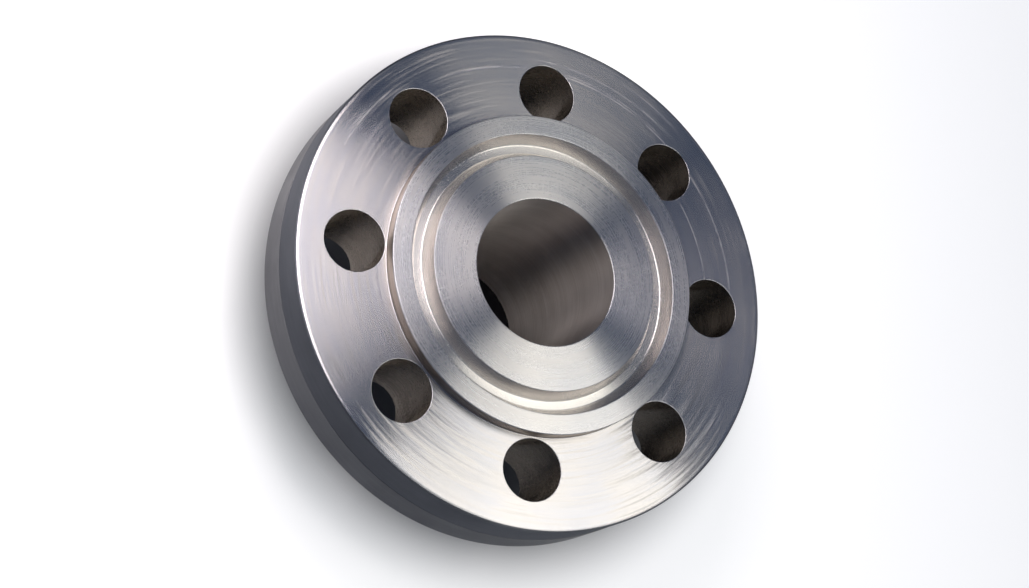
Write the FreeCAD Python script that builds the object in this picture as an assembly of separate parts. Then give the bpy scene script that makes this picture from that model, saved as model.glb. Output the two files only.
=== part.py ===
import FreeCAD, Part
import math
import os

from FreeCAD import Vector

# Weld neck flange with a ring type joint face, 3 inch pipe, pressure class 1500.
# Millimetres. +Z runs along the bore, from the weld end (z = 0) to the ring joint face.

# Pipe that the neck is welded to
PIPE_DIA = 88.9
PIPE_WALL = 5.49

# Weld end: a flat root face inside a bevel
ROOT_FACE = 1.6
BEVEL_ANGLE = 37.5

# Hub: straight neck, then a cone that meets the back of the flange
HUB_LENGTH = 117.0
NECK_LENGTH = 12.0
HUB_BASE_DIA = 133.0
NECK_BLEND = 14.0
HUB_ROOT_BLEND = 8.0

# Flange plate, its rim turned in two passes that meet in a fine step
FLANGE_DIA = 265.0
FLANGE_THICKNESS = 47.7
RIM_CHAMFER = 2.0
RIM_STEP = 0.15
RIM_STEP_HEIGHT = 24.0

# Raised face that holds the ring groove
FACE_DIA = 169.0
FACE_HEIGHT = 7.92
FACE_CHAMFER = 0.6
BORE_CHAMFER = 0.7

# Ring groove: flat floor between two sloped walls, width taken at the face
GROOVE_PITCH_DIA = 136.53
GROOVE_WIDTH = 11.91
GROOVE_DEPTH = 7.92
GROOVE_WALL_ANGLE = 23.0
GROOVE_FLOOR_BLEND = 0.8
GROOVE_LIP_CHAMFER = 0.5

# Bolt holes, set either side of the X and Y axes
BOLT_CIRCLE_DIA = 203.2
BOLT_COUNT = 8
BOLT_HOLE_DIA = 31.8
BOLT_HOLE_CHAMFER = 0.5

AXIS_ORIGIN = Vector(0, 0, 0)
AXIS = Vector(0, 0, 1)


def sharp(radius, height):
    return radius, height, None, 0


def chamfered(radius, height, size):
    return radius, height, "chamfer", size


def blended(radius, height, size):
    return radius, height, "blend", size


def corner_edge(before, corner, after, style, size):
    """Start and end of what finishes one corner of an outline, and its edge if it has one."""
    if style is None:
        return corner, corner, None
    to_before = (before - corner).normalize()
    to_after = (after - corner).normalize()
    if style == "chamfer":
        start = corner + to_before * size
        end = corner + to_after * size
        return start, end, Part.LineSegment(start, end).toShape()
    half_angle = to_before.getAngle(to_after) / 2
    reach = size / math.tan(half_angle)
    rise = size / math.sin(half_angle) - size
    start = corner + to_before * reach
    end = corner + to_after * reach
    middle = corner + (to_before + to_after).normalize() * rise
    return start, end, Part.Arc(start, middle, end).toShape()


def outline_face(corners):
    """Face in the XZ plane from a closed run of corners, each finished in its own style."""
    points = [Vector(radius, 0, height) for radius, height, _, _ in corners]
    edges = []
    ends = []
    for index, (_, _, style, size) in enumerate(corners):
        before = points[index - 1]
        after = points[(index + 1) % len(points)]
        start, end, edge = corner_edge(before, points[index], after, style, size)
        ends.append((start, end))
        if edge:
            edges.append(edge)
    for index, (start, _) in enumerate(ends):
        edges.append(Part.LineSegment(ends[index - 1][1], start).toShape())
    return Part.Face(Part.Wire(Part.__sortEdges__(edges)))


def weld_end_corners(bore_radius, neck_radius):
    """Root face, bevel, neck and the start of the hub's cone."""
    root_radius = bore_radius + ROOT_FACE
    bevel_height = (neck_radius - root_radius) * math.tan(math.radians(BEVEL_ANGLE))
    return [
        sharp(bore_radius, 0),
        sharp(root_radius, 0),
        sharp(neck_radius, bevel_height),
        blended(neck_radius, NECK_LENGTH, NECK_BLEND),
    ]


def plate_corners(back_height, front_height):
    """Back of the plate from the hub outwards, and the rim with its step."""
    rim_radius = FLANGE_DIA / 2
    step_height = back_height + RIM_STEP_HEIGHT
    return [
        blended(HUB_BASE_DIA / 2, back_height, HUB_ROOT_BLEND),
        chamfered(rim_radius, back_height, RIM_CHAMFER),
        sharp(rim_radius, step_height),
        sharp(rim_radius - RIM_STEP, step_height),
        chamfered(rim_radius - RIM_STEP, front_height, RIM_CHAMFER),
    ]


def raised_face_corners(front_height, bore_radius):
    """Raised face from its root inwards, across the ring groove to the bore."""
    top_height = front_height + FACE_HEIGHT
    floor_height = top_height - GROOVE_DEPTH
    pitch_radius = GROOVE_PITCH_DIA / 2
    half_mouth = GROOVE_WIDTH / 2
    half_floor = half_mouth - GROOVE_DEPTH * math.tan(math.radians(GROOVE_WALL_ANGLE))
    return [
        sharp(FACE_DIA / 2, front_height),
        chamfered(FACE_DIA / 2, top_height, FACE_CHAMFER),
        chamfered(pitch_radius + half_mouth, top_height, GROOVE_LIP_CHAMFER),
        blended(pitch_radius + half_floor, floor_height, GROOVE_FLOOR_BLEND),
        blended(pitch_radius - half_floor, floor_height, GROOVE_FLOOR_BLEND),
        chamfered(pitch_radius - half_mouth, top_height, GROOVE_LIP_CHAMFER),
        chamfered(bore_radius, top_height, BORE_CHAMFER),
    ]


def turned_body():
    """The forging as it leaves the lathe, before the bolt holes are drilled."""
    neck_radius = PIPE_DIA / 2
    bore_radius = neck_radius - PIPE_WALL
    back_height = HUB_LENGTH - FLANGE_THICKNESS
    corners = weld_end_corners(bore_radius, neck_radius)
    corners += plate_corners(back_height, HUB_LENGTH)
    corners += raised_face_corners(HUB_LENGTH, bore_radius)
    return outline_face(corners).revolve(AXIS_ORIGIN, AXIS, 360)


def drilled(body):
    """Body with the bolt holes cut through the plate and their mouths chamfered."""
    hole_radius = BOLT_HOLE_DIA / 2
    back_height = HUB_LENGTH - FLANGE_THICKNESS
    holes = []
    for index in range(BOLT_COUNT):
        angle = 360 / BOLT_COUNT * (index + 0.5)
        foot = Vector(BOLT_CIRCLE_DIA / 2, 0, back_height)
        hole = Part.makeCylinder(hole_radius, FLANGE_THICKNESS, foot)
        hole.rotate(AXIS_ORIGIN, AXIS, angle)
        holes.append(hole)
    body = body.cut(Part.makeCompound(holes))
    mouths = []
    for edge in body.Edges:
        if isinstance(edge.Curve, Part.Circle) and abs(edge.Curve.Radius - hole_radius) < 1e-6:
            mouths.append(edge)
    return body.makeChamfer(BOLT_HOLE_CHAMFER, mouths)


flange = drilled(turned_body()).removeSplitter().Solids[0]

os.makedirs("parts", exist_ok=True)
flange.exportStep("parts/ring_joint_flange.step")
print("volume", round(flange.Volume / 1000, 1), "cm3, faces", len(flange.Faces), "valid", flange.isValid())
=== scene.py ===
import math
from typing import NamedTuple

import bmesh
import bpy
from mathutils import Matrix, Vector


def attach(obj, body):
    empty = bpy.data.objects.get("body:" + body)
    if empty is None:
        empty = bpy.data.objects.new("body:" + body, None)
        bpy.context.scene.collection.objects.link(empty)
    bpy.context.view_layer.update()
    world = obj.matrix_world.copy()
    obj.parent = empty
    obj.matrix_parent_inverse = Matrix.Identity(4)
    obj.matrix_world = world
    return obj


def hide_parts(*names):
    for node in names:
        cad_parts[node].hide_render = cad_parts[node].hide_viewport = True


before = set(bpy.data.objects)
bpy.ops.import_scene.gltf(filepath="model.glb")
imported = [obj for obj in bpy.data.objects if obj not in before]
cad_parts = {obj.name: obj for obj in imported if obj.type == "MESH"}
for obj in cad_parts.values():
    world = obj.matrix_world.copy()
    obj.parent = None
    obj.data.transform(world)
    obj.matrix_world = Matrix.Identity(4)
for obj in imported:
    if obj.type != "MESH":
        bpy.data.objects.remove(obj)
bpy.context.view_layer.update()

# Ring joint flange. Sizes are those of the part's source, in metres.
MM = 0.001
UP = Vector((0, 0, 1))

BORE_RADIUS = 38.96 * MM
ROOT_FACE_RADIUS = 40.56 * MM
NECK_RADIUS = 44.45 * MM
BEVEL_HEIGHT = 2.985 * MM
NECK_LENGTH = 12 * MM
HUB_BASE_RADIUS = 66.5 * MM

BACK_HEIGHT = 69.3 * MM
STEP_HEIGHT = 93.3 * MM
PLATE_HEIGHT = 117 * MM
TOP_HEIGHT = 124.92 * MM
RIM_RADIUS = 132.5 * MM
RIM_STEP = 0.15 * MM
RAISED_RADIUS = 84.5 * MM

GROOVE_PITCH_RADIUS = 68.265 * MM
GROOVE_HALF_MOUTH = 5.955 * MM
GROOVE_HALF_FLOOR = 2.593 * MM

BOLT_CIRCLE_RADIUS = 101.6 * MM
BOLT_COUNT = 8
BOLT_HOLE_RADIUS = 15.9 * MM

# Roundings that the turning and the deburring leave
RIM_ROUNDING = 2.7 * MM
EDGE_ROUNDING = 0.6 * MM
LIP_ROUNDING = 0.5 * MM
FLOOR_ROUNDING = 1.3 * MM
MOUTH_ROUNDING = 0.35 * MM
RAISED_ROOT_ROUNDING = 0.5 * MM
HUB_ROOT_ROUNDING = 8 * MM
NECK_ROUNDING = 14 * MM

# Front edge of the rim: the plate bends away, then falls over a small rounding
FRONT_BEND = 1.5 * MM
FRONT_BEND_ROUNDING = 4.5 * MM
FRONT_FALL = 0.65 * MM
FRONT_FALL_ROUNDING = 0.7 * MM

# Where the turned outlines stop and the flat faces of the plate begin
HUB_SKIRT_RADIUS = 76 * MM
RAISED_SKIRT = 0.55 * MM
RIM_SKIRT = 4 * MM
HOLE_SKIRT = 0.02 * MM

TURN_STEPS = 288
HOLE_STEPS = 72
LEAST_ROUNDING_STEPS = 4
STEPS_FOR_SMALL_ROUNDING = 3
MERGE_DISTANCE = 0.001 * MM
LEVEL_TOLERANCE = 0.0001 * MM
SHARP_ANGLE = math.radians(30)

# Margins that tell one surface of the flange from the next
BORE_MARGIN = 0.01 * MM
GROOVE_LIP_MARGIN = 0.3 * MM
RAISED_MARGIN = 0.1 * MM
RAISED_SIDE_MARGIN = 0.02 * MM
RIM_MARGIN = 1.2 * MM
HEIGHT_MARGIN = 1 * MM

# Camera, as the photograph was taken
CAMERA_PLACE = Vector((0.13024, -0.48497, 0.94497))
CAMERA_AIM = Vector((-0.00137, 0.01021, 0.06797))
CAMERA_ROLL = math.radians(59.03)
CAMERA_LENS = 66.0
SENSOR_WIDTH = 36.0
CAMERA_REACH = 50

# Two soft boxes: corners, colour and strength
RIGHT_BOX = (
    (0.086, 0.153, 1.490),
    (-0.048, 0.338, 0.681),
    (0.323, 0.374, 0.498),
    (0.782, 0.168, 1.269),
)
RIGHT_BOX_COLOUR = (1.0, 0.975, 0.915)
RIGHT_BOX_STRENGTH = 2.45
LEFT_BOX = (
    (-0.444, 0.110, 0.653),
    (0.063, -0.146, 0.474),
    (-0.132, -0.288, 0.560),
    (-0.635, -0.217, 0.705),
)
LEFT_BOX_COLOUR = (1.0, 0.93, 0.935)
LEFT_BOX_STRENGTH = 6.1
SOFT_BOX_CUTS = 3
ROOM_COLOUR = (0.40, 0.58, 1.0)
ROOM_STRENGTH = 0.12

# Floor that sweeps up into a backdrop: outline of radius, height and rounding
FLOOR_OUTLINE = ((0, 0, 0), (3.0, 0, 1.2), (4.0, 2.4, 0))
FLOOR_STEPS = 96
FLOOR_ROUGHNESS = 0.9
FLOOR_SHINE = 0.2
FLOOR_WHITE = (0.86, 0.86, 0.86)
# Painted shade: the floor's colour under the plate and in the bore
FLOOR_SHADED = (0.004, 0.004, 0.006)

# Lift that whitens the floor, each as the radii where it starts and is full, and its strength
NEAR_LIFT = (0.122, 0.180, 0.72)
FAR_LIFT = (0.4, 2.5, 0.4)
MIRRORED_LIFT = (0.25, 0.5, 0.55)
MIRRORED_FADE = (1.0, 2.5, 0.55)

# Shade painted into the floor's colour under the plate: its centre and the radii between which it
# fades, and the part that stays; below it, the painted black inside the bore
SHADE_CENTRE = (-0.010, 0.036, 0.0)
SHADE_FADE = (0.102, 0.176)
SHADE_LEAST = 0.19
BORE_SHADE_FADE = (0.039, 0.045)

# Pale arcs rubbed into the plate: radius, half width, first and last angle, strength
PALE_ARCS = (
    (114.5 * MM, 0.75 * MM, 70, 110, 0.45),
    (99.5 * MM, 0.65 * MM, 70, 104, 0.35),
    (114.3 * MM, 0.75 * MM, 112, 190, 0.40),
    (115.8 * MM, 0.60 * MM, 118, 168, 0.25),
    (119.8 * MM, 0.70 * MM, 118, 168, 0.30),
    (126.0 * MM, 0.65 * MM, 116, 152, 0.28),
    (121.0 * MM, 0.80 * MM, 12, 40, 0.40),
    (123.2 * MM, 0.65 * MM, 14, 36, 0.30),
    (126.0 * MM, 0.70 * MM, 18, 42, 0.34),
    (121.0 * MM, 0.70 * MM, 202, 226, 0.36),
    (124.5 * MM, 0.65 * MM, 276, 300, 0.30),
)
ARC_FULL_SHARE = 0.7
ARC_CORE_SHARE = 0.3
ARC_WEAR_SCALE = 90.0

# Lathe rings: the bands are this many times as wide, the passes of the tool this far apart
BAND_WIDTH = 14.0
PASS_PITCH = 1.3 * MM
PASS_ARCS = 3.0
PASS_SEED = 40

# Hair scratches: turns of the three directions, and strokes to the metre along X, Y and Z
HAIR_TURNS = (0.35, 1.5, 2.6)
HAIR_STROKES = (150, 1500, 900)
CLOUD_SCALE = 26.0

# Turns the grain's spread across the rings
ACROSS_RINGS = 0.25


class Finish(NamedTuple):
    """One way the steel was worked: its tints, gloss, rings and wear; on some finishes the tints are
    painted shade or painted light.
    """

    name: str
    dark: tuple
    light: tuple
    roughness: tuple
    pitch: float
    arcs: float
    lean: float
    spread: float
    veil: float
    hair: float
    seed: float
    rub: float = 0.0
    sway: float = 0.0
    arced: bool = False


# Material slots of the flange, in the order of its finishes
(
    PLATE_FACE,
    RAISED_FACE,
    RAISED_SIDE,
    GROOVE_WALL,
    GROOVE_FLOOR,
    RIM_FRONT,
    RIM_BACK,
    BORE,
    DRILLED,
    HUB,
) = range(10)

FINISHES = (
    Finish(
        "faced_plate",
        dark=(0.55, 0.553, 0.59),
        light=(0.65, 0.628, 0.615),
        roughness=(0.24, 0.26),
        pitch=0.8 * MM,
        arcs=3.0,
        lean=0.0,
        spread=1.0,
        veil=0.02,
        hair=0.024,
        seed=0.0,
        rub=0.18,
        sway=0.07,
        arced=True,
    ),
    Finish(
        "faced_raised_face",
        dark=(0.59, 0.595, 0.62),
        light=(0.73, 0.71, 0.69),
        roughness=(0.265, 0.285),
        pitch=0.35 * MM,
        arcs=2.0,
        lean=0.16,
        spread=1.0,
        veil=0.05,
        hair=0.045,
        seed=3.1,
    ),
    # Painted shade: a dark brown base, darker than the raised face, stands in for the dark
    # reflections on the raised face's side wall
    Finish(
        "raised_side_painted_shade",
        dark=(0.40, 0.33, 0.27),
        light=(0.52, 0.44, 0.37),
        roughness=(0.26, 0.30),
        pitch=0.35 * MM,
        arcs=2.0,
        lean=0.12,
        spread=1.0,
        veil=0.02,
        hair=0.03,
        seed=4.4,
    ),
    # Painted light: pale, warm bases, lighter than the faced steel, brighten the groove's walls and
    # floor beyond what the lamps give them
    Finish(
        "groove_wall_painted_light",
        dark=(0.69, 0.66, 0.63),
        light=(0.79, 0.755, 0.725),
        roughness=(0.20, 0.22),
        pitch=0.35 * MM,
        arcs=2.0,
        lean=0.08,
        spread=1.0,
        veil=0.02,
        hair=0.03,
        seed=5.7,
    ),
    Finish(
        "groove_floor_painted_light",
        dark=(0.70, 0.68, 0.655),
        light=(0.79, 0.77, 0.745),
        roughness=(0.25, 0.27),
        pitch=0.35 * MM,
        arcs=2.0,
        lean=0.05,
        spread=1.0,
        veil=0.0,
        hair=0.03,
        seed=5.7,
    ),
    # Painted shade: both rim passes have base colours far darker than the faced steel, standing in
    # for the dark surroundings the rim reflects; the two passes and their fine step are real
    Finish(
        "rim_front_pass_painted_shade",
        dark=(0.125, 0.134, 0.152),
        light=(0.19, 0.20, 0.222),
        roughness=(0.42, 0.50),
        pitch=0.3 * MM,
        arcs=3.0,
        lean=0.2,
        spread=0.95,
        veil=0.0,
        hair=0.03,
        seed=8.3,
        rub=0.04,
    ),
    Finish(
        "rim_back_pass_painted_shade",
        dark=(0.21, 0.212, 0.22),
        light=(0.31, 0.312, 0.32),
        roughness=(0.50, 0.58),
        pitch=0.5 * MM,
        arcs=3.0,
        lean=0.2,
        spread=0.93,
        veil=0.0,
        hair=0.03,
        seed=11.9,
        rub=0.04,
    ),
    # Painted light: a base paler than the faced steel brightens the bore's reflections
    Finish(
        "bored_wall_painted_light",
        dark=(0.74, 0.69, 0.65),
        light=(0.93, 0.88, 0.84),
        roughness=(0.285, 0.305),
        pitch=0.5 * MM,
        arcs=1.5,
        lean=0.12,
        spread=1.0,
        veil=0.03,
        hair=0.015,
        seed=14.3,
    ),
    # Painted shade: a dark brown base, darker than the faced steel, stands in for the shade inside
    # the bolt holes
    Finish(
        "drilled_wall_painted_shade",
        dark=(0.27, 0.235, 0.195),
        light=(0.40, 0.355, 0.30),
        roughness=(0.24, 0.30),
        pitch=0.5 * MM,
        arcs=1.5,
        lean=0.2,
        spread=0.96,
        veil=0.0,
        hair=0.03,
        seed=17.7,
    ),
    # Painted shade: a base darker than the faced steel stands in for the shade under the plate
    Finish(
        "turned_hub_painted_shade",
        dark=(0.25, 0.25, 0.253),
        light=(0.34, 0.34, 0.343),
        roughness=(0.34, 0.40),
        pitch=0.6 * MM,
        arcs=2.0,
        lean=0.2,
        spread=0.92,
        veil=0.0,
        hair=0.03,
        seed=21.1,
    ),
)


def corner_reach(before, corner, after, rounding):
    """How far from a corner its rounding begins."""
    half_angle = (before - corner).angle(after - corner) / 2
    return rounding / math.tan(half_angle)


def add_outline(bm, corners):
    """Open wire in the XZ plane through (radius, height, rounding) corners, rounded."""
    places = [Vector((radius, 0, height)) for radius, height, _ in corners]
    points = [bm.verts.new(place) for place in places]
    for start, end in zip(points, points[1:]):
        bm.edges.new((start, end))
    for index, (_, _, rounding) in enumerate(corners):
        if not rounding:
            continue
        reach = corner_reach(places[index - 1], places[index], places[index + 1], rounding)
        steps = round(rounding / MM) + STEPS_FOR_SMALL_ROUNDING
        bmesh.ops.bevel(
            bm,
            geom=[points[index]],
            offset=reach,
            offset_type="OFFSET",
            segments=max(LEAST_ROUNDING_STEPS, steps),
            profile=0.5,
            affect="VERTICES",
            material=-1,
        )


def add_turned(bm, corners, steps, axis_place=Vector((0, 0, 0))):
    """Surface turned from an outline round an upright axis, joined to the mesh."""
    turned = bmesh.new()
    add_outline(turned, corners)
    bmesh.ops.spin(
        turned,
        geom=turned.verts[:] + turned.edges[:],
        cent=(0, 0, 0),
        axis=UP,
        angle=math.tau,
        steps=steps,
        use_merge=True,
    )
    bmesh.ops.translate(turned, vec=axis_place, verts=turned.verts[:])
    mesh = bpy.data.meshes.new("turned")
    turned.to_mesh(mesh)
    turned.free()
    bm.from_mesh(mesh)
    bpy.data.meshes.remove(mesh)


def hub_outline():
    """Back of the plate inwards, down the hub and the neck to the weld end, and up the bore."""
    return [
        (HUB_SKIRT_RADIUS, BACK_HEIGHT, 0),
        (HUB_BASE_RADIUS, BACK_HEIGHT, HUB_ROOT_ROUNDING),
        (NECK_RADIUS, NECK_LENGTH, NECK_ROUNDING),
        (NECK_RADIUS, BEVEL_HEIGHT, 0),
        (ROOT_FACE_RADIUS, 0, 0),
        (BORE_RADIUS, 0, 0),
        (BORE_RADIUS, PLATE_HEIGHT, 0),
    ]


def raised_outline():
    """Up the bore's mouth, across the raised face and its groove, and down to the plate."""
    inner_lip = GROOVE_PITCH_RADIUS - GROOVE_HALF_MOUTH
    inner_floor = GROOVE_PITCH_RADIUS - GROOVE_HALF_FLOOR
    outer_floor = GROOVE_PITCH_RADIUS + GROOVE_HALF_FLOOR
    outer_lip = GROOVE_PITCH_RADIUS + GROOVE_HALF_MOUTH
    return [
        (BORE_RADIUS, PLATE_HEIGHT, 0),
        (BORE_RADIUS, TOP_HEIGHT, EDGE_ROUNDING),
        (inner_lip, TOP_HEIGHT, LIP_ROUNDING),
        (inner_floor, PLATE_HEIGHT, FLOOR_ROUNDING),
        (outer_floor, PLATE_HEIGHT, FLOOR_ROUNDING),
        (outer_lip, TOP_HEIGHT, LIP_ROUNDING),
        (RAISED_RADIUS, TOP_HEIGHT, EDGE_ROUNDING),
        (RAISED_RADIUS, PLATE_HEIGHT, RAISED_ROOT_ROUNDING),
        (RAISED_RADIUS + RAISED_SKIRT, PLATE_HEIGHT, 0),
    ]


def rim_outline():
    """Round the rim from the front of the plate to its back, over the fine step."""
    inside = RIM_RADIUS - RIM_SKIRT
    return [
        (inside, PLATE_HEIGHT, 0),
        (RIM_RADIUS - FRONT_BEND, PLATE_HEIGHT, FRONT_BEND_ROUNDING),
        (RIM_RADIUS - RIM_STEP, PLATE_HEIGHT - FRONT_FALL, FRONT_FALL_ROUNDING),
        (RIM_RADIUS - RIM_STEP, STEP_HEIGHT, 0),
        (RIM_RADIUS, STEP_HEIGHT, 0),
        (RIM_RADIUS, BACK_HEIGHT, RIM_ROUNDING),
        (inside, BACK_HEIGHT, 0),
    ]


def hole_outline():
    """Wall of one bolt hole with its two broken edges, about the hole's own axis."""
    mouth = BOLT_HOLE_RADIUS + MOUTH_ROUNDING + HOLE_SKIRT
    return [
        (mouth, PLATE_HEIGHT, 0),
        (BOLT_HOLE_RADIUS, PLATE_HEIGHT, MOUTH_ROUNDING),
        (BOLT_HOLE_RADIUS, BACK_HEIGHT, MOUTH_ROUNDING),
        (mouth, BACK_HEIGHT, 0),
    ]


def bolt_places():
    """Axes of the bolt holes, set either side of the X and Y axes."""
    places = []
    for index in range(BOLT_COUNT):
        angle = math.tau / BOLT_COUNT * (index + 0.5)
        places.append(Matrix.Rotation(angle, 3, "Z") @ Vector((BOLT_CIRCLE_RADIUS, 0, 0)))
    return places


def fill_plate(bm, height, facing):
    """Flat face of the plate between the open circles that lie at one height."""
    circles = []
    for edge in bm.edges:
        level = all(abs(vert.co.z - height) < LEVEL_TOLERANCE for vert in edge.verts)
        if level and len(edge.link_faces) == 1:
            circles.append(edge)
    bmesh.ops.triangle_fill(
        bm, use_beauty=True, use_dissolve=False, edges=circles, normal=(0, 0, facing)
    )


def finish_of(face, places):
    """Material slot of a face, by where it lies on the flange."""
    centre = face.calc_center_median()
    radius = math.hypot(centre.x, centre.y)
    height = centre.z
    mouth = BOLT_HOLE_RADIUS + HOLE_SKIRT
    if radius > RAISED_RADIUS and height > BACK_HEIGHT - HEIGHT_MARGIN:
        for place in places:
            if math.hypot(centre.x - place.x, centre.y - place.y) < mouth:
                return DRILLED
    if radius < BORE_RADIUS + BORE_MARGIN:
        return BORE
    from_pitch = abs(radius - GROOVE_PITCH_RADIUS)
    if from_pitch < GROOVE_HALF_MOUTH - GROOVE_LIP_MARGIN and height > PLATE_HEIGHT - HEIGHT_MARGIN:
        return GROOVE_WALL if height > PLATE_HEIGHT + HEIGHT_MARGIN else GROOVE_FLOOR
    if height > PLATE_HEIGHT + RAISED_MARGIN:
        below_edge = height < TOP_HEIGHT - EDGE_ROUNDING
        beside = radius > RAISED_RADIUS - RAISED_SIDE_MARGIN and below_edge
        return RAISED_SIDE if beside else RAISED_FACE
    if radius > RIM_RADIUS - RIM_MARGIN and height > BACK_HEIGHT:
        return RIM_FRONT if height > STEP_HEIGHT else RIM_BACK
    if height > PLATE_HEIGHT - RIM_ROUNDING:
        return PLATE_FACE
    return HUB


def flange_mesh():
    """The whole flange as one closed surface."""
    bm = bmesh.new()
    places = bolt_places()
    add_turned(bm, hub_outline(), TURN_STEPS)
    add_turned(bm, raised_outline(), TURN_STEPS)
    add_turned(bm, rim_outline(), TURN_STEPS)
    for place in places:
        add_turned(bm, hole_outline(), HOLE_STEPS, place)
    fill_plate(bm, PLATE_HEIGHT, 1)
    fill_plate(bm, BACK_HEIGHT, -1)
    bmesh.ops.remove_doubles(bm, verts=bm.verts[:], dist=MERGE_DISTANCE)
    bmesh.ops.recalc_face_normals(bm, faces=bm.faces[:])
    for face in bm.faces:
        face.smooth = True
        face.material_index = finish_of(face, places)
    for edge in bm.edges:
        edge.smooth = edge.calc_face_angle(math.pi) < SHARP_ANGLE
    mesh = bpy.data.meshes.new("flange")
    bm.to_mesh(mesh)
    bm.free()
    return mesh


class Nodes:
    """Short way to place shader nodes and join them in one tree."""

    def __init__(self, tree):
        self.tree = tree

    def place(self, kind, settings=None, **inputs):
        """New node, its inputs named with low lines for spaces."""
        node = self.tree.nodes.new(kind)
        for name, value in (settings or {}).items():
            setattr(node, name, value)
        for name, value in inputs.items():
            self.feed(node.inputs[name.replace("_", " ")], value)
        return node

    def feed(self, socket, value):
        """Link a socket or set its value."""
        if isinstance(value, bpy.types.NodeSocket):
            self.tree.links.new(value, socket)
        else:
            socket.default_value = value

    def math(self, operation, *values):
        """Result of one operation on numbers or sockets."""
        node = self.tree.nodes.new("ShaderNodeMath")
        node.operation = operation
        for socket, value in zip(node.inputs, values):
            self.feed(socket, value)
        return node.outputs[0]

    def vector_math(self, operation, *values, **inputs):
        """Vector result of one operation on vectors."""
        node = self.place("ShaderNodeVectorMath", {"operation": operation}, **inputs)
        for socket, value in zip(node.inputs, values):
            self.feed(socket, value)
        return node.outputs[0]

    def spread(self, value, low, high, to_low, to_high):
        """Smooth step of a value from one range to another."""
        node = self.place("ShaderNodeMapRange", {"interpolation_type": "SMOOTHSTEP"})
        for socket, number in zip(node.inputs, (value, low, high, to_low, to_high)):
            self.feed(socket, number)
        return node.outputs[0]

    def mixed(self, factor, first, second):
        """Colour between two colours."""
        node = self.place("ShaderNodeMix", {"data_type": "RGBA"})
        self.feed(node.inputs["Factor"], factor)
        self.feed(node.inputs["A"], first)
        self.feed(node.inputs["B"], second)
        return node.outputs["Result"]

    def noise(self, detail, scale=1.0, settings=None, **inputs):
        """Value of a noise at a place."""
        node = self.place("ShaderNodeTexNoise", settings, **inputs, Scale=scale, Detail=detail)
        return node.outputs[0]

    def noise_4d(self, detail, scale=1.0, **inputs):
        """Value of a noise with four coordinates."""
        return self.noise(detail, scale, {"noise_dimensions": "4D"}, **inputs)


def new_group(name, inputs, outputs):
    """Empty shader group with float inputs and outputs."""
    group = bpy.data.node_groups.new(name, "ShaderNodeTree")
    for label, default in inputs.items():
        socket = group.interface.new_socket(label, in_out="INPUT", socket_type="NodeSocketFloat")
        socket.default_value = default
    for label in outputs:
        group.interface.new_socket(label, in_out="OUTPUT", socket_type="NodeSocketFloat")
    nodes = Nodes(group)
    given = nodes.place("NodeGroupInput").outputs
    return group, nodes, given, nodes.place("NodeGroupOutput").inputs


def place_on_flange(nodes):
    """Radius, height and the two sides of the unit direction, from Object coordinates."""
    coordinates = nodes.place("ShaderNodeTexCoord").outputs["Object"]
    x, y, height = nodes.place("ShaderNodeSeparateXYZ", Vector=coordinates).outputs
    x_square = nodes.math("MULTIPLY", x, x)
    y_square = nodes.math("MULTIPLY", y, y)
    radius = nodes.math("SQRT", nodes.math("ADD", x_square, y_square))
    along = nodes.math("DIVIDE", x, radius)
    across = nodes.math("DIVIDE", y, radius)
    return radius, height, along, across


def lathe_marks_group():
    """Fine rings that a turning tool leaves, each broken into arcs, with their tilt."""
    group, nodes, given, out = new_group(
        "lathe_marks",
        {"Pitch": 0.4 * MM, "Arcs": 3.0, "Lean": 0.5, "Sway": 0.0, "Seed": 0.0},
        ("Rings", "Bands"),
    )
    radius, height, along, across = place_on_flange(nodes)
    arcs_along = nodes.math("MULTIPLY", along, given["Arcs"])
    arcs_across = nodes.math("MULTIPLY", across, given["Arcs"])
    ring_radius = nodes.math("DIVIDE", radius, given["Pitch"])
    ring_height = nodes.math("DIVIDE", height, given["Pitch"])
    depth = nodes.math("ADD", ring_height, given["Seed"])
    rings_at = nodes.place("ShaderNodeCombineXYZ", X=ring_radius, Y=depth, Z=arcs_along)
    rings = nodes.noise_4d(1.5, Vector=rings_at.outputs[0], W=arcs_across)
    band_radius = nodes.math("DIVIDE", ring_radius, BAND_WIDTH)
    band_depth = nodes.math("DIVIDE", depth, BAND_WIDTH)
    bands_at = nodes.place("ShaderNodeCombineXYZ", X=band_radius, Y=band_depth, Z=along)
    bands = nodes.noise_4d(2.0, Vector=bands_at.outputs[0], W=across)
    nodes.feed(out["Rings"], rings)
    nodes.feed(out["Bands"], bands)
    group.interface.new_socket("Ridged Normal", in_out="OUTPUT", socket_type="NodeSocketVector")
    ridged = nodes.place("ShaderNodeNewGeometry").outputs["Normal"]
    around = nodes.place("ShaderNodeTangent", {"direction_type": "RADIAL", "axis": "Z"}).outputs[0]
    over = nodes.vector_math("CROSS_PRODUCT", ridged, around)
    unevenness = nodes.math("SUBTRACT", rings, 0.5)
    for side, amount in ((over, "Lean"), (around, "Sway")):
        tilt = nodes.math("MULTIPLY", unevenness, given[amount])
        leaned = nodes.vector_math("SCALE", side, Scale=tilt)
        ridged = nodes.vector_math("ADD", ridged, leaned)
    unit = nodes.vector_math("NORMALIZE", ridged)
    nodes.feed(group.nodes["Group Output"].inputs["Ridged Normal"], unit)
    return group


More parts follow.
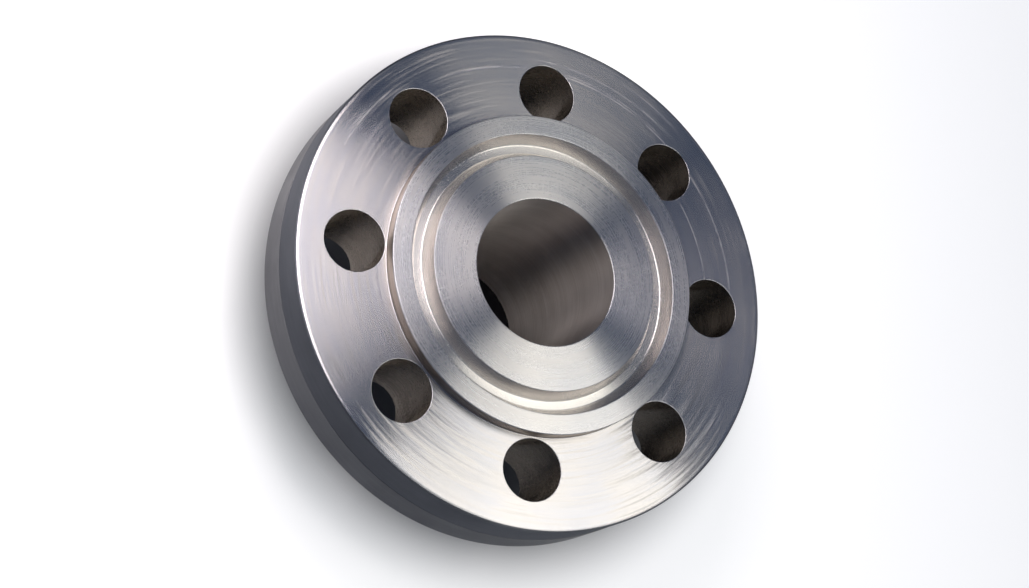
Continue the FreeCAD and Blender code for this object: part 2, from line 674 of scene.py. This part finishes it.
def handling_marks_group():
    """Hair scratches that cross at random, gathered in patches, and cloudy wear."""
    group, nodes, given, out = new_group("handling_marks", {"Seed": 0.0}, ("Hairs", "Clouds"))
    coordinates = nodes.place("ShaderNodeTexCoord").outputs["Object"]
    hairs = 0.0
    for turn in HAIR_TURNS:
        turned = nodes.place(
            "ShaderNodeVectorRotate", {"rotation_type": "Z_AXIS"}, Vector=coordinates, Angle=turn
        )
        drawn = nodes.vector_math("MULTIPLY", turned.outputs[0], HAIR_STROKES)
        depth = nodes.math("ADD", given["Seed"], turn)
        strokes = nodes.noise_4d(1.0, Vector=drawn, W=depth)
        hairs = nodes.math("ADD", hairs, nodes.spread(strokes, 0.52, 0.70, 0.0, 1.0))
    clouds = nodes.noise_4d(4.0, CLOUD_SCALE, Vector=coordinates, W=given["Seed"])
    gathered = nodes.spread(clouds, 0.35, 0.68, 0.25, 1.0)
    nodes.feed(out["Hairs"], nodes.math("MULTIPLY", hairs, gathered))
    nodes.feed(out["Clouds"], clouds)
    return group


def pale_arcs_group():
    """Arcs that parting chips have rubbed into the plate."""
    group, nodes, _, out = new_group("pale_arcs", {}, ("Arcs",))
    radius, _, along, across = place_on_flange(nodes)
    coordinates = nodes.place("ShaderNodeTexCoord").outputs["Object"]
    wear = nodes.noise(3.0, ARC_WEAR_SCALE, Vector=coordinates)
    total = 0.0
    for arc_radius, half_width, first, last, strength in PALE_ARCS:
        middle = math.radians((first + last) / 2)
        reach = math.radians((last - first) / 2)
        turned_along = nodes.math("MULTIPLY", along, math.cos(middle))
        turned_across = nodes.math("MULTIPLY", across, math.sin(middle))
        turned = nodes.math("ADD", turned_along, turned_across)
        full = math.cos(reach * ARC_FULL_SHARE)
        window = nodes.spread(turned, math.cos(reach), full, 0.0, 1.0)
        off = nodes.math("ABSOLUTE", nodes.math("SUBTRACT", radius, arc_radius))
        line = nodes.spread(off, ARC_CORE_SHARE * half_width, half_width, strength, 0.0)
        total = nodes.math("ADD", total, nodes.math("MULTIPLY", line, window))
    worn = nodes.spread(wear, 0.35, 0.65, 0.4, 1.0)
    nodes.feed(out["Arcs"], nodes.math("MULTIPLY", total, worn))
    return group


def weighed(nodes, first, first_share, second, second_share):
    """Sum of two values, each by its share."""
    first_part = nodes.math("MULTIPLY", first, first_share)
    second_part = nodes.math("MULTIPLY", second, second_share)
    return nodes.math("ADD", first_part, second_part)


def turned_steel(finish, marks, handling, pale_arcs):
    """Steel as the lathe leaves it: rings in colour, roughness and relief, glossier along a ring; on
    some finishes the tint is painted shade or painted light.
    """
    material = bpy.data.materials.new(finish.name)
    material.use_nodes = True
    nodes = Nodes(material.node_tree)
    material.node_tree.nodes.clear()
    rings = nodes.place(
        "ShaderNodeGroup",
        {"node_tree": marks},
        Pitch=finish.pitch,
        Arcs=finish.arcs,
        Lean=finish.lean,
        Seed=finish.seed,
    )
    passes = nodes.place(
        "ShaderNodeGroup",
        {"node_tree": marks},
        Pitch=PASS_PITCH,
        Arcs=PASS_ARCS,
        Lean=0.0,
        Sway=finish.sway,
        Seed=finish.seed + PASS_SEED,
    )
    worn = nodes.place("ShaderNodeGroup", {"node_tree": handling}, Seed=finish.seed)
    fine, bands = rings.outputs["Rings"], rings.outputs["Bands"]
    hairs, clouds = worn.outputs["Hairs"], worn.outputs["Clouds"]
    relief = passes if finish.sway else rings

    # Rings that handling has rubbed pale, and the tint of the steel, which on some finishes is
    # painted shade or painted light
    high_rings = nodes.spread(passes.outputs["Rings"], 0.50, 0.68, 0.0, finish.rub)
    rubbed = nodes.math("MULTIPLY", high_rings, nodes.spread(clouds, 0.38, 0.62, 0.3, 1.0))
    tone = weighed(nodes, fine, 0.6, bands, 0.4)
    tinted = nodes.math("ADD", weighed(nodes, tone, 0.5, clouds, 0.5), rubbed)
    tint = nodes.spread(tinted, 0.35, 0.65, 0.0, 1.0)
    colour = nodes.mixed(tint, (*finish.dark, 1), (*finish.light, 1))

    # Roughness, and how much of the surface has lost its gloss
    low, high = finish.roughness
    scuffs = nodes.math("MULTIPLY", hairs, finish.hair)
    scuffed = nodes.math("MULTIPLY", scuffs, 0.2)
    rough = nodes.math("ADD", nodes.spread(tone, 0.3, 0.7, low, high), scuffed)
    veiled = nodes.spread(clouds, 0.35, 0.7, finish.veil * 0.3, finish.veil * 2.0)
    dull = nodes.math("ADD", veiled, scuffs)
    dull = nodes.math("ADD", dull, nodes.spread(fine, 0.45, 0.7, 0.0, finish.hair * 0.5))
    dull = nodes.math("ADD", dull, rubbed)
    if finish.arced:
        lines = nodes.place("ShaderNodeGroup", {"node_tree": pale_arcs}).outputs["Arcs"]
        dull = nodes.math("ADD", dull, lines)

    tangent = nodes.place("ShaderNodeTangent", {"direction_type": "RADIAL", "axis": "Z"})
    steel = nodes.place(
        "ShaderNodeBsdfPrincipled",
        Base_Color=colour,
        Metallic=nodes.math("SUBTRACT", 1.0, dull),
        Roughness=rough,
        Anisotropic=finish.spread,
        Anisotropic_Rotation=ACROSS_RINGS,
        Normal=relief.outputs["Ridged Normal"],
        Tangent=tangent.outputs[0],
    )
    nodes.place("ShaderNodeOutputMaterial", Surface=steel.outputs[0])
    return material


def make_flange():
    """The flange with exact normals on its flats, in place of the CAD node."""
    mesh = flange_mesh()
    groups = (lathe_marks_group(), handling_marks_group(), pale_arcs_group())
    for finish in FINISHES:
        mesh.materials.append(turned_steel(finish, *groups))
    flange = bpy.data.objects.new("flange", mesh)
    bpy.context.scene.collection.objects.link(flange)
    shading = flange.modifiers.new("exact_flats", "WEIGHTED_NORMAL")
    shading.keep_sharp = True
    shading.weight = 100
    graph = bpy.context.evaluated_depsgraph_get()
    finished = bpy.data.meshes.new_from_object(flange.evaluated_get(graph))
    flange.modifiers.clear()
    flange.data = finished
    return flange


def floor_mesh():
    """Flat floor that sweeps up into a round backdrop, facing up and inwards."""
    bm = bmesh.new()
    add_turned(bm, FLOOR_OUTLINE, FLOOR_STEPS)
    bmesh.ops.remove_doubles(bm, verts=bm.verts[:], dist=MERGE_DISTANCE)
    bmesh.ops.recalc_face_normals(bm, faces=bm.faces[:])
    for face in bm.faces:
        face.smooth = True
        if face.normal.z < 0:
            face.normal_flip()
    mesh = bpy.data.meshes.new("floor")
    bm.to_mesh(mesh)
    bm.free()
    return mesh


def lifted(nodes, radius, lift):
    """Strength that grows with the radius."""
    start, full, strength = lift
    return nodes.spread(radius, start, full, 0.0, strength)


def floor_lift(nodes, radius, off_centre):
    """White that the camera and the steel see on the floor, apart from the flange's shadow."""
    rays = nodes.place("ShaderNodeLightPath").outputs
    near = lifted(nodes, off_centre, NEAR_LIFT)
    seen = nodes.math("ADD", near, lifted(nodes, radius, FAR_LIFT))
    grown = lifted(nodes, radius, MIRRORED_LIFT)
    mirrored = nodes.math("SUBTRACT", grown, lifted(nodes, radius, MIRRORED_FADE))
    other = nodes.math("MAXIMUM", rays["Is Glossy Ray"], rays["Is Transmission Ray"])
    for_camera = nodes.math("MULTIPLY", rays["Is Camera Ray"], seen)
    for_other = nodes.math("MULTIPLY", other, mirrored)
    return nodes.math("MAXIMUM", for_camera, for_other)


def white_floor():
    """Plain white, with shade painted into its colour under the plate and in the bore."""
    material = bpy.data.materials.new("white_floor")
    material.use_nodes = True
    nodes = Nodes(material.node_tree)
    surface = material.node_tree.nodes["Principled BSDF"].inputs
    surface["Roughness"].default_value = FLOOR_ROUGHNESS
    surface["Specular IOR Level"].default_value = FLOOR_SHINE
    moved = nodes.place("ShaderNodeVectorMath", {"operation": "DISTANCE"})
    nodes.feed(moved.inputs[0], nodes.place("ShaderNodeTexCoord").outputs["Object"])
    moved.inputs[1].default_value = SHADE_CENTRE
    off_centre = moved.outputs["Value"]
    radius = place_on_flange(nodes)[0]
    # Painted shade: black in the bore and dark under the plate, mixed into the floor's colour
    painted_bore_shade = nodes.spread(radius, *BORE_SHADE_FADE, 0.0, 1.0)
    painted_plate_shade = nodes.spread(off_centre, *SHADE_FADE, SHADE_LEAST, 1.0)
    shade = nodes.math("MULTIPLY", painted_bore_shade, painted_plate_shade)
    colour = nodes.mixed(shade, (*FLOOR_SHADED, 1), (*FLOOR_WHITE, 1))
    nodes.feed(surface["Base Color"], colour)
    nodes.feed(surface["Emission Color"], (1, 1, 1, 1))
    nodes.feed(surface["Emission Strength"], floor_lift(nodes, radius, off_centre))
    return material


def make_floor():
    """White floor and backdrop."""
    mesh = floor_mesh()
    mesh.materials.append(white_floor())
    floor = bpy.data.objects.new("floor", mesh)
    bpy.context.scene.collection.objects.link(floor)


def make_camera():
    """Camera at the photograph's place, turned as it was held."""
    settings = bpy.data.cameras.new("camera")
    settings.lens = CAMERA_LENS
    settings.sensor_width = SENSOR_WIDTH
    settings.sensor_fit = "HORIZONTAL"
    settings.clip_end = CAMERA_REACH
    camera = bpy.data.objects.new("camera", settings)
    bpy.context.scene.collection.objects.link(camera)
    level = (CAMERA_AIM - CAMERA_PLACE).to_track_quat("-Z", "Y").to_matrix().to_4x4()
    turn = Matrix.Rotation(CAMERA_ROLL, 4, "Z")
    camera.matrix_world = Matrix.Translation(CAMERA_PLACE) @ level @ turn
    bpy.context.scene.camera = camera


def soft_box(name, corners, colour, strength):
    """Glowing panel through the given corners, which lights the flange but isn't seen itself."""
    bm = bmesh.new()
    bm.faces.new([bm.verts.new(corner) for corner in corners])
    bmesh.ops.subdivide_edges(bm, edges=bm.edges[:], cuts=SOFT_BOX_CUTS, use_grid_fill=True)
    mesh = bpy.data.meshes.new(name)
    bm.to_mesh(mesh)
    bm.free()
    material = bpy.data.materials.new(name)
    material.use_nodes = True
    nodes = Nodes(material.node_tree)
    material.node_tree.nodes.clear()
    glow = nodes.place("ShaderNodeEmission", Color=(*colour, 1), Strength=strength)
    nodes.place("ShaderNodeOutputMaterial", Surface=glow.outputs[0])
    mesh.materials.append(material)
    panel = bpy.data.objects.new(name, mesh)
    bpy.context.scene.collection.objects.link(panel)
    panel.visible_camera = False
    panel.visible_shadow = False


def make_lights():
    """Two soft boxes in a dim, cool room."""
    soft_box("soft_box_right", RIGHT_BOX, RIGHT_BOX_COLOUR, RIGHT_BOX_STRENGTH)
    soft_box("soft_box_left", LEFT_BOX, LEFT_BOX_COLOUR, LEFT_BOX_STRENGTH)
    world = bpy.data.worlds.new("studio")
    world.use_nodes = True
    background = world.node_tree.nodes["Background"].inputs
    background["Color"].default_value = (*ROOM_COLOUR, 1)
    background["Strength"].default_value = ROOM_STRENGTH
    bpy.context.scene.world = world


flange = make_flange()
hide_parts("ring_joint_flange")
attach(flange, "root")
make_floor()
make_lights()
make_camera()

bpy.context.scene.view_settings.view_transform = "Standard"
